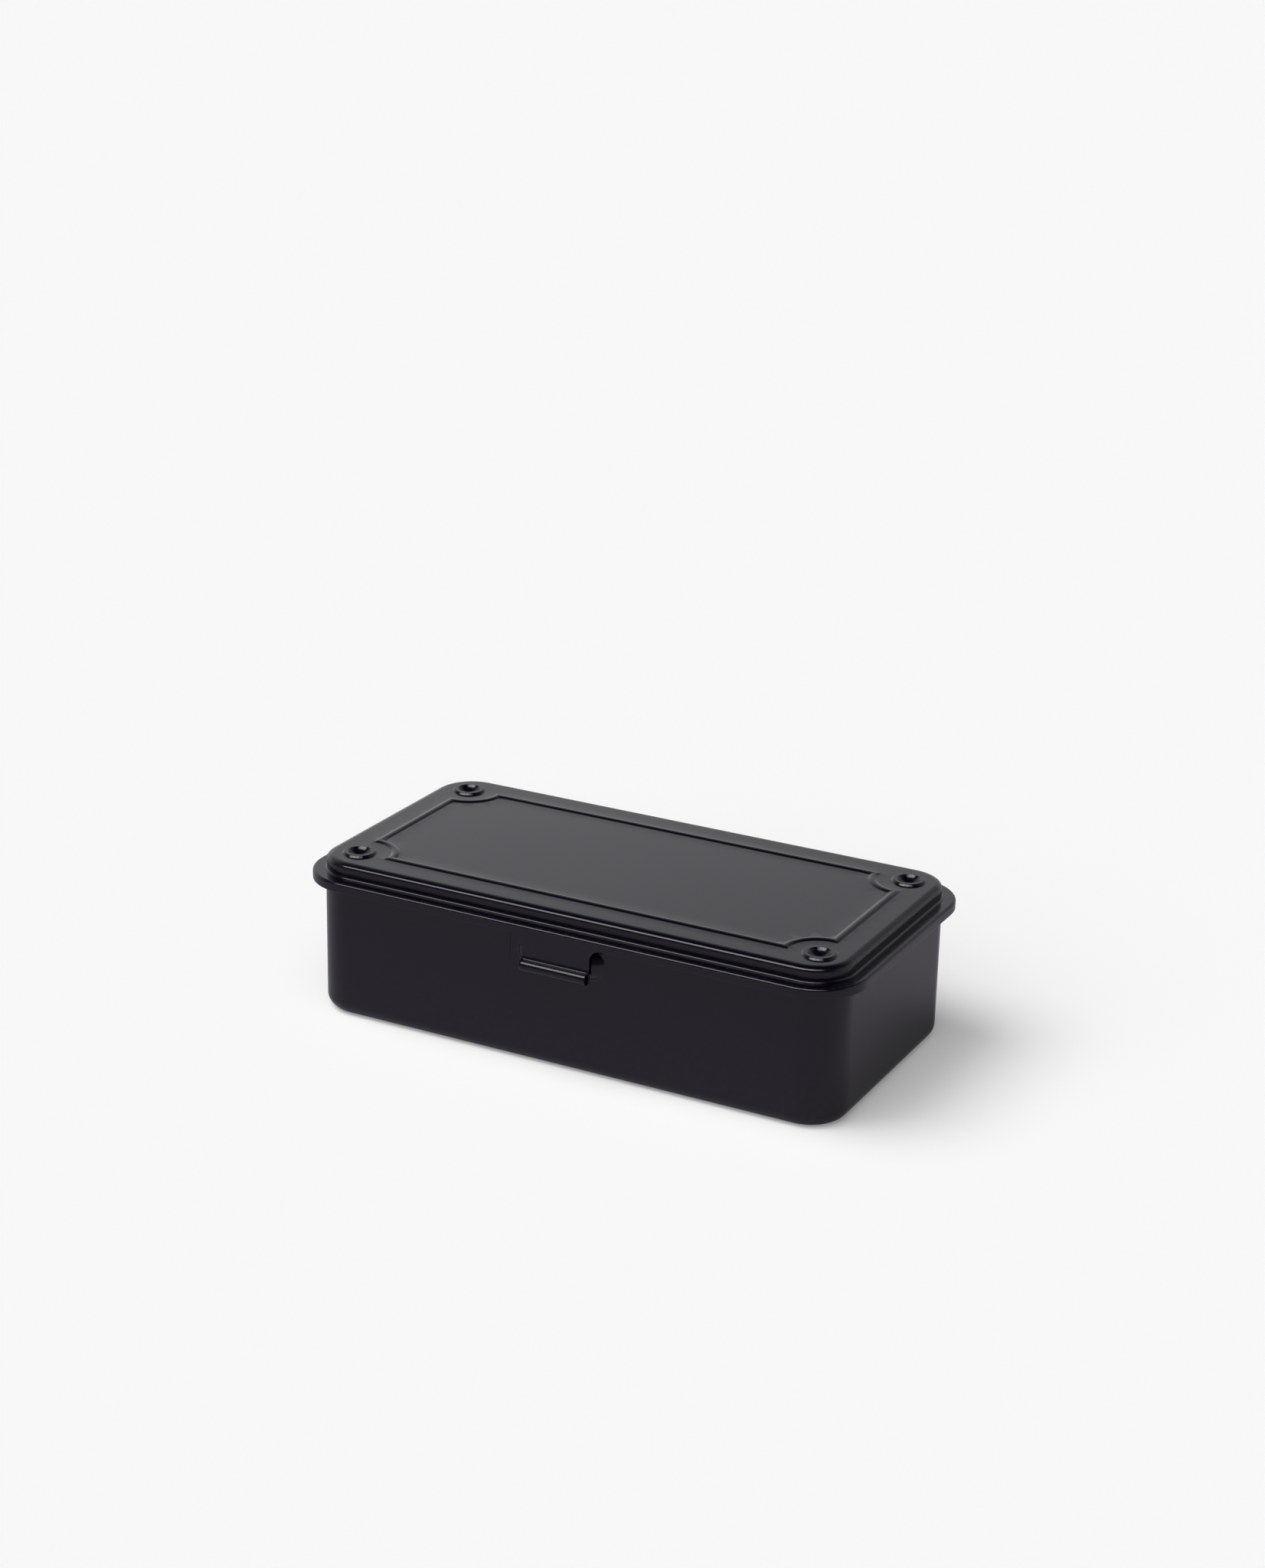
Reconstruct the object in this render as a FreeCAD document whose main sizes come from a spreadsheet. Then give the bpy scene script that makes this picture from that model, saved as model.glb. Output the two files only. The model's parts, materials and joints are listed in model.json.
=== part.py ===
import FreeCAD, Part
import math
import operator
import os
import Sketcher

# A small pressed-steel storage box: a drawn body with a curled rim, a drawn hinged lid whose
# skirt carries a sprung latch tab, and two rear hinges. Millimetres; the origin is on the
# surface the box stands on, under the middle of the body. X runs along the length, the latch
# faces -Y, the hinges are at +Y, and Z is up.

DIMENSIONS = (
    ("gauge", 0.7, "sheet steel thickness of both shells"),
    ("rim_length", 203.0, "lid rim, outside length"),
    ("rim_width", 106.0, "lid rim, outside width"),
    ("rim_corner", 18.3, "lid rim, plan corner radius"),
    ("rim_bottom", 47.0, "height of the lid skirt's lower edge"),
    ("ledge_height", 50.3, "height of the flat ledge round the crown"),
    ("lid_top", 55.4, "height of the crown's flat panel"),
    ("crown_inset", 4.8, "crown wall, inward from the rim"),
    ("crown_round", 2.8, "convex radius round the crown's top"),
    ("ledge_round", 1.0, "concave radius where the crown meets the ledge"),
    ("rim_round", 0.9, "convex radius on the rim's upper edge"),
    ("wall_inset", 4.5, "body wall, inward from the rim"),
    ("body_top", 49.45, "height of the top of the body's curled rim"),
    ("floor_round", 4.8, "outside radius between body wall and floor"),
    ("curl_radius", 1.4, "outside radius of the body's curled rim"),
    ("stud_spacing_x", 170.4, "stacking studs, centres along the length"),
    ("stud_spacing_y", 72.0, "stacking studs, centres across the width"),
    ("stud_radius", 5.7, "stacking stud, radius at its base"),
    ("stud_crest", 4.8, "stacking stud, radius of the crest of its ring"),
    ("stud_rise", 0.75, "stacking stud, crest above the crown panel"),
    ("stud_dip", 2.0, "stacking stud, depth of the bowl below the crest"),
    ("socket_radius", 6.0, "stacking socket in the floor, radius"),
    ("socket_depth", 1.2, "stacking socket in the floor, depth"),
    ("bead_breadth", 3.2, "stiffening bead on the crown, breadth"),
    ("bead_rise", 0.5, "stiffening bead, height above the panel"),
    ("bead_round", 0.45, "convex radius on the bead's upper edges"),
    ("bead_notch", 12.1, "bead centreline's quarter-circle radius about each stud"),
    ("latch_breadth", 25.0, "latch tab, breadth"),
    ("latch_blend", 4.0, "radius where the tab's edges run into the skirt"),
    ("roll_breadth", 24.3, "length of the tab's rolled edge"),
    ("roll_radius", 2.03, "outside radius of the rolled edge"),
    ("roll_height", 36.85, "height of the rolled edge's centre"),
    ("roll_advance", 0.5, "rolled edge's centre, forward of the tab's outer face"),
    ("roll_slit", 0.5, "gap left where the rolled edge closes on the tab"),
    ("flare_round", 0.4, "concave radius between the tab and its rolled edge"),
    ("bulge_length", 32.4, "latch bulge on the body, length"),
    ("bulge_half", 5.25, "latch bulge, half its height"),
    ("bulge_rise", 2.8, "latch bulge, crest forward of the wall"),
    ("bulge_height", 39.8, "height of the latch bulge's centre"),
    ("hinge_spacing", 110.0, "hinges, centre to centre"),
    ("hinge_breadth", 28.0, "hinge leaf, breadth"),
    ("leaf_gauge", 0.8, "hinge leaf thickness"),
    ("leaf_bottom", 21.0, "height of the hinge leaf's lower edge"),
    ("leaf_corner", 3.0, "hinge leaf, lower corner radius"),
    ("leaf_bend", 0.7, "inside radius of the leaf's bend"),
    ("axis_height", 43.0, "height of the hinge axis"),
    ("pin_radius", 1.2, "hinge pin radius"),
    ("pin_overhang", 0.5, "pin end, beyond the leaf on each side"),
    ("pin_chamfer", 0.3, "chamfer on the pin's ends"),
    ("leaf_fit", 0.02, "radial clearance of the pin in the leaf"),
    ("lid_fit", 0.05, "radial clearance of the pin in the lid's knuckle"),
    ("knuckle_breadth", 12.0, "lid knuckle, breadth"),
    ("knuckle_blend", 2.0, "radius where the knuckle's edges run into the skirt"),
    ("knuckle_gap", 0.3, "end gap between lid and leaf knuckles"),
    ("curl_slit", 0.6, "gap left where a knuckle closes"),
    ("weld_radius", 1.6, "spot-weld mark, radius"),
    ("weld_depth", 0.15, "spot-weld mark, depth"),
    ("weld_spacing", 17.0, "spot-weld marks, centre to centre"),
    ("weld_height", 31.0, "height of the spot-weld marks"),
)

OPERATIONS = {"+": operator.add, "-": operator.sub, "*": operator.mul, "/": operator.truediv}


class Size:
    """A length that carries its present value and the sheet expression it comes from."""

    def __init__(self, value, text):
        self.value = value
        self.text = text

    def __add__(self, other):
        return combine(self, "+", other)

    def __sub__(self, other):
        return combine(self, "-", other)

    def __mul__(self, other):
        return combine(self, "*", other)

    def __truediv__(self, other):
        return combine(self, "/", other)

    def __neg__(self):
        return combine(self, "*", -1)


def as_size(item):
    return item if isinstance(item, Size) else Size(float(item), f"({item})")


def combine(left, mark, right):
    left = as_size(left)
    right = as_size(right)
    value = OPERATIONS[mark](left.value, right.value)
    return Size(value, f"({left.text} {mark} {right.text})")


def make_sheet(document):
    """Fill the sheet and return its cells as Sizes, by alias."""
    sheet = document.addObject("Spreadsheet::Sheet", "dims")
    sizes = {}
    for row, (alias, value, note) in enumerate(DIMENSIONS, start=1):
        sheet.set(f"A{row}", note)
        sheet.set(f"B{row}", str(value))
        sheet.setAlias(f"B{row}", alias)
        sizes[alias] = Size(value, f"dims.{alias}")
    document.recompute()
    return sizes


doc = FreeCAD.newDocument("pressed_steel_box")
D = make_sheet(doc)
NOTHING = Size(0.0, "0")
ORIGIN_VERTEX = (-1, 1)
START, END, CENTRE = 1, 2, 3

rim_x = D["rim_length"] / 2
rim_y = D["rim_width"] / 2
skirt_inner_y = rim_y - D["gauge"]
wall_x = rim_x - D["wall_inset"]
wall_y = rim_y - D["wall_inset"]
wall_corner = D["rim_corner"] - D["wall_inset"]
stud_x = D["stud_spacing_x"] / 2
stud_y = D["stud_spacing_y"] / 2
lid_knuckle_bore = D["pin_radius"] + D["lid_fit"]
lid_knuckle_radius = lid_knuckle_bore + D["gauge"]
leaf_knuckle_bore = D["pin_radius"] + D["leaf_fit"]
leaf_knuckle_radius = leaf_knuckle_bore + D["leaf_gauge"]
axis_y = skirt_inner_y + lid_knuckle_radius


# ---------------------------------------------------------------- features

def bind(item, path, size):
    item.setExpression(path, as_size(size).text)


def new_body(name):
    body = doc.addObject("PartDesign::Body", name)
    body.Label = name
    return body


def new_sketch(body, name, plane, offset=NOTHING):
    """A sketch on one of the body's origin planes, moved along the plane's normal."""
    sketch = body.newObject("Sketcher::SketchObject", name)
    support = next(item for item in body.Origin.OriginFeatures if item.Role == plane)
    sketch.AttachmentSupport = [(support, "")]
    sketch.MapMode = "FlatFace"
    bind(sketch, "AttachmentOffset.Base.z", offset)
    return sketch


def point(x, y):
    return FreeCAD.Vector(x.value, y.value, 0)


def tie(sketch, size, *constraint):
    """Add a constraint whose value follows a Size."""
    index = sketch.addConstraint(Sketcher.Constraint(*constraint, size.value))
    bind(sketch, f"Constraints[{index}]", size)


def place_vertex(sketch, geometry, vertex, x, y):
    tie(sketch, x, "DistanceX", *ORIGIN_VERTEX, geometry, vertex)
    tie(sketch, y, "DistanceY", *ORIGIN_VERTEX, geometry, vertex)


def draw_rectangle(sketch, low_x, high_x, low_y, high_y):
    corners = [(low_x, low_y), (high_x, low_y), (high_x, high_y), (low_x, high_y)]
    lines = []
    for start, end in zip(corners, corners[1:] + corners[:1]):
        lines.append(sketch.addGeometry(Part.LineSegment(point(*start), point(*end))))
    for here, there in zip(lines, lines[1:] + lines[:1]):
        sketch.addConstraint(Sketcher.Constraint("Coincident", here, END, there, START))
    for line, direction in zip(lines, ("Horizontal", "Vertical") * 2):
        sketch.addConstraint(Sketcher.Constraint(direction, line))
    place_vertex(sketch, lines[0], START, low_x, low_y)
    place_vertex(sketch, lines[2], START, high_x, high_y)


def draw_circle(sketch, x, y, radius):
    circle = Part.Circle(point(x, y), FreeCAD.Vector(0, 0, 1), radius.value)
    index = sketch.addGeometry(circle)
    place_vertex(sketch, index, CENTRE, x, y)
    tie(sketch, radius, "Radius", index)


def draw_polygon(sketch, corners):
    """Straight edges through corners, each held at its own distances from the origin."""
    lines = []
    for start, end in zip(corners, corners[1:] + corners[:1]):
        lines.append(sketch.addGeometry(Part.LineSegment(point(*start), point(*end))))
    for here, there in zip(lines, lines[1:] + lines[:1]):
        sketch.addConstraint(Sketcher.Constraint("Coincident", here, END, there, START))
    for line, corner in zip(lines, corners):
        place_vertex(sketch, line, START, *corner)


def draw_cornered_loop(sketch, half_x, half_y, centre_x, centre_y, radius, bulging):
    """A rectangle centred on the origin with a quarter arc at each corner.

    The arcs are convex and tangent (bulging), or concave about their own centres.
    """
    quarter = math.pi / 2
    reach_x = half_x.value - centre_x.value
    reach_y = half_y.value - centre_y.value
    arcs = []
    for turn, (side_x, side_y) in enumerate(((1, 1), (-1, 1), (-1, -1), (1, -1))):
        middle = FreeCAD.Vector(side_x * centre_x.value, side_y * centre_y.value, 0)
        circle = Part.Circle(middle, FreeCAD.Vector(0, 0, 1), radius.value)
        ends = [middle + FreeCAD.Vector(side_x * reach_x, -side_y * radius.value, 0),
                middle + FreeCAD.Vector(-side_x * radius.value, side_y * reach_y, 0)]
        if bulging:
            first = turn * quarter
            last = first + quarter
        else:
            angles = [FreeCAD.Vector(1, 0, 0).getAngle(end - middle) for end in ends]
            signs = [1 if (end - middle).y >= 0 else -1 for end in ends]
            span = sorted((angle * sign) % (4 * quarter) for angle, sign in zip(angles, signs))
            first, last = span if span[1] - span[0] < 2 * quarter else (span[1], span[0])
        arcs.append(sketch.addGeometry(Part.ArcOfCircle(circle, first, last)))
    for index, arc in enumerate(arcs):
        following = arcs[(index + 1) % 4]
        leave, arrive = (END, START) if bulging else (START, END)
        start = sketch.getPoint(arc, leave)
        end = sketch.getPoint(following, arrive)
        line = sketch.addGeometry(Part.LineSegment(start, end))
        kind = "Tangent" if bulging else "Coincident"
        sketch.addConstraint(Sketcher.Constraint(kind, arc, leave, line, START))
        sketch.addConstraint(Sketcher.Constraint(kind, line, END, following, arrive))
        direction = "Horizontal" if index % 2 == 0 else "Vertical"
        sketch.addConstraint(Sketcher.Constraint(direction, line))
        side = (half_y, half_x)[index % 2]
        sign = (1, -1, -1, 1)[index]
        axis = "DistanceY" if index % 2 == 0 else "DistanceX"
        tie(sketch, side * sign, axis, *ORIGIN_VERTEX, line, START)
        if bulging:
            tie(sketch, radius, "Radius", arc)
        else:
            corner_x = centre_x * (1, -1, -1, 1)[index]
            corner_y = centre_y * (1, 1, -1, -1)[index]
            place_vertex(sketch, arc, CENTRE, corner_x, corner_y)
            tie(sketch, radius, "Radius", arc)


def draw_rounded_rectangle(sketch, half_x, half_y, radius):
    draw_cornered_loop(sketch, half_x, half_y, half_x - radius, half_y - radius, radius, True)


def draw_notched_rectangle(sketch, half_x, half_y, centre_x, centre_y, radius):
    draw_cornered_loop(sketch, half_x, half_y, centre_x, centre_y, radius, False)


def pad(body, sketch, length, symmetric=False, backwards=False):
    feature = body.newObject("PartDesign::Pad", sketch.Name + "_pad")
    feature.Profile = sketch
    if symmetric:
        feature.SideType = "Symmetric"
    feature.Reversed = backwards
    bind(feature, "Length", length)
    doc.recompute()
    return feature


def pocket(body, sketch, depth, symmetric=False, backwards=False):
    """Cut a sketch's outline away; the volume has to fall."""
    before = body.Shape.Volume
    feature = body.newObject("PartDesign::Pocket", sketch.Name + "_pocket")
    feature.Profile = sketch
    if symmetric:
        feature.SideType = "Symmetric"
    feature.Reversed = backwards
    bind(feature, "Length", depth)
    doc.recompute()
    if not body.Shape.Volume < before:
        raise RuntimeError(f"{feature.Name} cuts nothing")
    return feature


def revolve(body, sketch, subtract=False):
    """Turn a sketch fully about its own vertical axis."""
    kind = "PartDesign::Groove" if subtract else "PartDesign::Revolution"
    before = body.Shape.Volume
    feature = body.newObject(kind, sketch.Name + "_turned")
    feature.Profile = sketch
    feature.ReferenceAxis = (sketch, ["V_Axis"])
    feature.Angle = 360
    doc.recompute()
    if subtract and not body.Shape.Volume < before:
        raise RuntimeError(f"{feature.Name} cuts nothing")
    return feature


def edges_where(body, wanted):
    """Names of the body's present edges whose edge passes the test."""
    return [f"Edge{number}" for number, edge in enumerate(body.Shape.Edges, start=1) if wanted(edge)]


def round_edges(body, name, radius, wanted):
    names = edges_where(body, wanted)
    if not names:
        raise RuntimeError(f"{name} finds no edges")
    base = body.Tip
    feature = body.newObject("PartDesign::Fillet", name)
    feature.Base = (base, names)
    bind(feature, "Radius", radius)
    doc.recompute()
    return feature


def near(one, other, reach=0.02):
    return abs(one - other) < reach


def level_at(height):
    """Test for edges that lie wholly at one height."""
    def wanted(edge):
        box = edge.BoundBox
        return near(box.ZMin, height.value) and near(box.ZMax, height.value)
    return wanted


def outline_at(height, half_x, half_y):
    """Test for edges at one height that belong to an outline of a given half size."""
    def wanted(edge):
        box = edge.BoundBox
        on_x = near(max(abs(box.XMin), abs(box.XMax)), half_x.value)
        on_y = near(max(abs(box.YMin), abs(box.YMax)), half_y.value)
        return level_at(height)(edge) and (on_x or on_y)
    return wanted


def along_x(y, z, reach=0.05):
    """Test for straight edges along X that pass a place in the YZ plane."""
    def wanted(edge):
        box = edge.BoundBox
        straight = box.XLength > 1 and box.YLength < reach and box.ZLength < reach
        return straight and near(box.YMin, y.value, reach) and near(box.ZMin, z.value, reach)
    return wanted


def slab(body, name, half_x, half_y, corner, low, high):
    """A rounded-rectangle block from one height to another."""
    sketch = new_sketch(body, name, "XY_Plane", low)
    draw_rounded_rectangle(sketch, half_x, half_y, corner)
    return pad(body, sketch, high - low)


def shell_inward(body, name, open_height):
    """Hollow the body to the sheet's thickness, leaving it open at one height."""
    faces = [f"Face{number}" for number, face in enumerate(body.Shape.Faces, start=1)
             if level_at(open_height)(face)]
    base = body.Tip
    solid_volume = body.Shape.Volume
    feature = body.newObject("PartDesign::Thickness", name)
    feature.Base = (base, faces)
    feature.Join = "Intersection"
    feature.Reversed = True
    bind(feature, "Value", D["gauge"])
    doc.recompute()
    if not body.Shape.Volume < solid_volume / 2:
        raise RuntimeError(f"{name} is not hollow")
    return feature


def capsule(body, name, radius, subtract):
    """A round-ended bar along X behind the latch bulge, whose front stands out of the wall."""
    straight = D["bulge_length"] / 2 - D["bulge_half"]
    full_radius = (D["bulge_half"] * D["bulge_half"] / D["bulge_rise"] + D["bulge_rise"]) / 2
    centre_y = -(wall_y + D["bulge_rise"] - full_radius)
    kind = "Subtractive" if subtract else "Additive"
    used = full_radius - radius
    bar = body.newObject(f"PartDesign::{kind}Cylinder", name + "_bar")
    bind(bar, "Radius", used)
    bind(bar, "Height", straight * 2)
    bar.Placement = FreeCAD.Placement(FreeCAD.Vector(), FreeCAD.Rotation(FreeCAD.Vector(0, 1, 0), 90))
    bind(bar, "Placement.Base.x", -straight)
    bind(bar, "Placement.Base.y", centre_y)
    bind(bar, "Placement.Base.z", D["bulge_height"])
    for side, sign in (("left", -1), ("right", 1)):
        ball = body.newObject(f"PartDesign::{kind}Sphere", f"{name}_{side}_end")
        bind(ball, "Radius", used)
        bind(ball, "Placement.Base.x", straight * sign)
        bind(ball, "Placement.Base.y", centre_y)
        bind(ball, "Placement.Base.z", D["bulge_height"])
    doc.recompute()


# ---------------------------------------------------------------- body shell

def add_bulge(body):
    """The pressed bulge that the latch grips: a capsule's front, hollow behind."""
    capsule(body, "bulge", NOTHING, subtract=False)
    behind = new_sketch(body, "bulge_behind", "XZ_Plane", wall_y - D["gauge"])
    reach = D["bulge_length"]
    spread = D["bulge_half"] * 1.5
    draw_rectangle(behind, -reach, reach, D["bulge_height"] - spread, D["bulge_height"] + spread)
    pocket(body, behind, spread * 2)
    capsule(body, "bulge_back", D["gauge"], subtract=True)


def add_curled_rim(body):
    """The wall's top edge, rolled outward into a tube that is open by a slit underneath."""
    centre_y = wall_y - D["gauge"] + D["curl_radius"]
    centre_z = D["body_top"] - D["curl_radius"]
    path = new_sketch(body, "curl_path", "XY_Plane", centre_z)
    grow = D["curl_radius"] - D["gauge"]
    draw_rounded_rectangle(path, wall_x + grow, wall_y + grow, wall_corner + grow)
    section = new_sketch(body, "curl_section", "YZ_Plane")
    draw_circle(section, centre_y, centre_z, D["curl_radius"])
    draw_circle(section, centre_y, centre_z, D["curl_radius"] - D["gauge"])
    doc.recompute()
    pipe = body.newObject("PartDesign::AdditivePipe", "curled_rim")
    pipe.Profile = section
    pipe.Spine = path
    doc.recompute()
    slit = new_sketch(body, "curl_slit", "XY_Plane", D["body_top"] - D["curl_radius"] * 2)
    draw_rounded_rectangle(slit, wall_x + D["curl_slit"], wall_y + D["curl_slit"],
                           wall_corner + D["curl_slit"])
    draw_rounded_rectangle(slit, wall_x, wall_y, wall_corner)
    pocket(body, slit, D["curl_radius"], backwards=True)


def add_stacking_sockets(body):
    """Four round recesses pressed up into the floor, where another lid's studs sit."""
    for column, sign_x in enumerate((-1, 1)):
        for row, sign_y in enumerate((-1, 1)):
            tag = f"socket_{column}{row}"
            boss = new_sketch(body, tag + "_boss", "XY_Plane", D["gauge"] / 2)
            draw_circle(boss, stud_x * sign_x, stud_y * sign_y, D["socket_radius"] + D["gauge"])
            pad(body, boss, D["socket_depth"] + D["gauge"] / 2)
            recess = new_sketch(body, tag + "_recess", "XY_Plane", NOTHING)
            draw_circle(recess, stud_x * sign_x, stud_y * sign_y, D["socket_radius"])
            pocket(body, recess, D["socket_depth"], backwards=True)


def make_body_shell():
    body = new_body("body_shell")
    wall_top = D["body_top"] - D["curl_radius"]
    slab(body, "outside", wall_x, wall_y, wall_corner, NOTHING, wall_top)
    round_edges(body, "floor_edge", D["floor_round"], level_at(NOTHING))
    shell_inward(body, "walls", wall_top)
    add_bulge(body)
    add_stacking_sockets(body)
    add_curled_rim(body)
    return body


# ---------------------------------------------------------------- lid shell

def add_frame_bead(body):
    """A raised bead round the crown that steps in round each stud; its back is a groove."""
    half = D["bead_breadth"] / 2

    def outline(sketch, shift):
        draw_notched_rectangle(sketch, stud_x + shift, stud_y + shift, stud_x, stud_y,
                               D["bead_notch"] - shift)

    bead = new_sketch(body, "bead", "XY_Plane", D["lid_top"])
    outline(bead, half)
    outline(bead, -half)
    pad(body, bead, D["bead_rise"])
    groove = new_sketch(body, "bead_back", "XY_Plane", D["lid_top"] - D["gauge"])
    outline(groove, half - D["gauge"] / 2)
    outline(groove, -half + D["gauge"] / 2)
    pocket(body, groove, D["bead_rise"], backwards=True)
    top = D["lid_top"] + D["bead_rise"]
    round_edges(body, "bead_edge", D["bead_round"], level_at(top))


def add_studs(body):
    """Four raised rings with a bowl inside, pressed from the panel at a constant thickness."""
    skin = D["gauge"]
    top = D["lid_top"]
    crest = top + D["stud_rise"]
    bowl = crest - D["stud_dip"]
    middle = D["stud_crest"] / 2
    ease = skin / 4
    ring_inside = D["stud_crest"] - skin
    ring_outside = D["stud_crest"] + skin
    for column, sign_x in enumerate((-1, 1)):
        for row, sign_y in enumerate((-1, 1)):
            tag = f"stud_{column}{row}"
            section = new_sketch(body, tag, "XZ_Plane", -stud_y * sign_y)
            bind(section, "AttachmentOffset.Base.x", stud_x * sign_x)
            draw_polygon(section, [
                (NOTHING, bowl - skin), (middle, bowl - skin),
                (D["stud_crest"], top - skin), (D["stud_radius"], top - skin),
                (D["stud_radius"], top), (ring_outside, crest - ease),
                (D["stud_crest"], crest), (ring_inside, crest - ease),
                (middle, bowl + ease), (NOTHING, bowl)])
            dish = new_sketch(body, tag + "_dish", "XZ_Plane", -stud_y * sign_y)
            bind(dish, "AttachmentOffset.Base.x", stud_x * sign_x)
            draw_polygon(dish, [
                (NOTHING, bowl), (middle, bowl + ease),
                (ring_inside, crest - ease), (ring_inside, crest), (NOTHING, crest)])
            revolve(body, section)
            revolve(body, dish, subtract=True)


def add_tab(body, name, centre_x, breadth, blend, low, face_y):
    """A tab that hangs from the skirt in its own plane, blended into the skirt's lower edge."""
    outward = -1 if face_y.value < 0 else 1
    sketch = new_sketch(body, name, "XZ_Plane", -face_y)
    high = D["rim_bottom"] + D["gauge"]
    draw_rectangle(sketch, centre_x - breadth / 2, centre_x + breadth / 2, low, high)
    pad(body, sketch, D["gauge"], backwards=outward < 0)
    low_y, high_y = sorted((face_y.value, face_y.value - outward * D["gauge"].value))
    edges = [centre_x.value - breadth.value / 2, centre_x.value + breadth.value / 2]

    def at_skirt(edge):
        box = edge.BoundBox
        beside = any(near(box.XMin, x) and near(box.XMax, x) for x in edges)
        across = near(box.YMin, low_y) and near(box.YMax, high_y)
        return beside and across and near(box.ZMin, D["rim_bottom"].value)

    round_edges(body, name + "_blend", blend, at_skirt)


def add_roll(body, name, centre_x, centre_y, centre_z, outer, bore, breadth):
    """A tube along X made by rolling a tab's edge."""
    sketch = new_sketch(body, name, "YZ_Plane", centre_x)
    draw_circle(sketch, centre_y, centre_z, outer)
    draw_circle(sketch, centre_y, centre_z, bore)
    pad(body, sketch, breadth, symmetric=True)


def slit_roll(body, name, centre_x, breadth, low_y, high_y, low_z, high_z):
    """The gap where a rolled edge stops short of closing."""
    sketch = new_sketch(body, name, "YZ_Plane", centre_x)
    draw_rectangle(sketch, low_y, high_y, low_z, high_z)
    pocket(body, sketch, breadth, symmetric=True)


def add_latch(body):
    """The front tab, whose lower edge is flared out and rolled to grip behind the bulge."""
    bore = D["roll_radius"] - D["gauge"]
    centre_y = -(rim_y + D["roll_advance"])
    add_tab(body, "latch_tab", NOTHING, D["latch_breadth"], D["latch_blend"],
            D["roll_height"] + bore, -rim_y)
    add_roll(body, "latch_roll", NOTHING, centre_y, D["roll_height"], D["roll_radius"], bore,
             D["roll_breadth"])
    slit_roll(body, "latch_slit", NOTHING, D["latch_breadth"], -skirt_inner_y, -wall_y,
              D["roll_height"], D["roll_height"] + D["roll_slit"])

    def in_crease(edge):
        box = edge.BoundBox
        straight = near(box.XLength, D["roll_breadth"].value) and box.YLength < 0.01
        return straight and near(box.YMin, -rim_y.value) and box.ZMin > D["roll_height"].value

    round_edges(body, "latch_flare", D["flare_round"], in_crease)


def add_lid_knuckles(body):
    """Two rear tabs rolled round the hinge pins."""
    for side, sign in (("left", -1), ("right", 1)):
        centre_x = D["hinge_spacing"] / 2 * sign
        tag = f"knuckle_{side}"
        add_tab(body, tag + "_tab", centre_x, D["knuckle_breadth"], D["knuckle_blend"],
                D["axis_height"], rim_y)
        add_roll(body, tag, centre_x, axis_y, D["axis_height"], lid_knuckle_radius,
                 lid_knuckle_bore, D["knuckle_breadth"])
        slit_roll(body, tag + "_slit", centre_x, D["knuckle_breadth"], rim_y,
                  rim_y + D["curl_slit"], D["axis_height"] + lid_knuckle_bore / 2,
                  D["axis_height"] + lid_knuckle_radius)


def make_lid_shell():
    body = new_body("lid_shell")
    crown_x = rim_x - D["crown_inset"]
    crown_y = rim_y - D["crown_inset"]
    crown_corner = D["rim_corner"] - D["crown_inset"]
    slab(body, "flange", rim_x, rim_y, D["rim_corner"], D["rim_bottom"], D["ledge_height"])
    slab(body, "crown", crown_x, crown_y, crown_corner, D["ledge_height"], D["lid_top"])
    round_edges(body, "crown_edge", D["crown_round"], level_at(D["lid_top"]))
    round_edges(body, "ledge_edge", D["ledge_round"],
                outline_at(D["ledge_height"], crown_x, crown_y))
    shell_inward(body, "skin", D["rim_bottom"])
    round_edges(body, "rim_edge", D["rim_round"], outline_at(D["ledge_height"], rim_x, rim_y))
    add_frame_bead(body)
    add_studs(body)
    add_latch(body)
    add_lid_knuckles(body)
    return body


# ---------------------------------------------------------------- hinges

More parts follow.
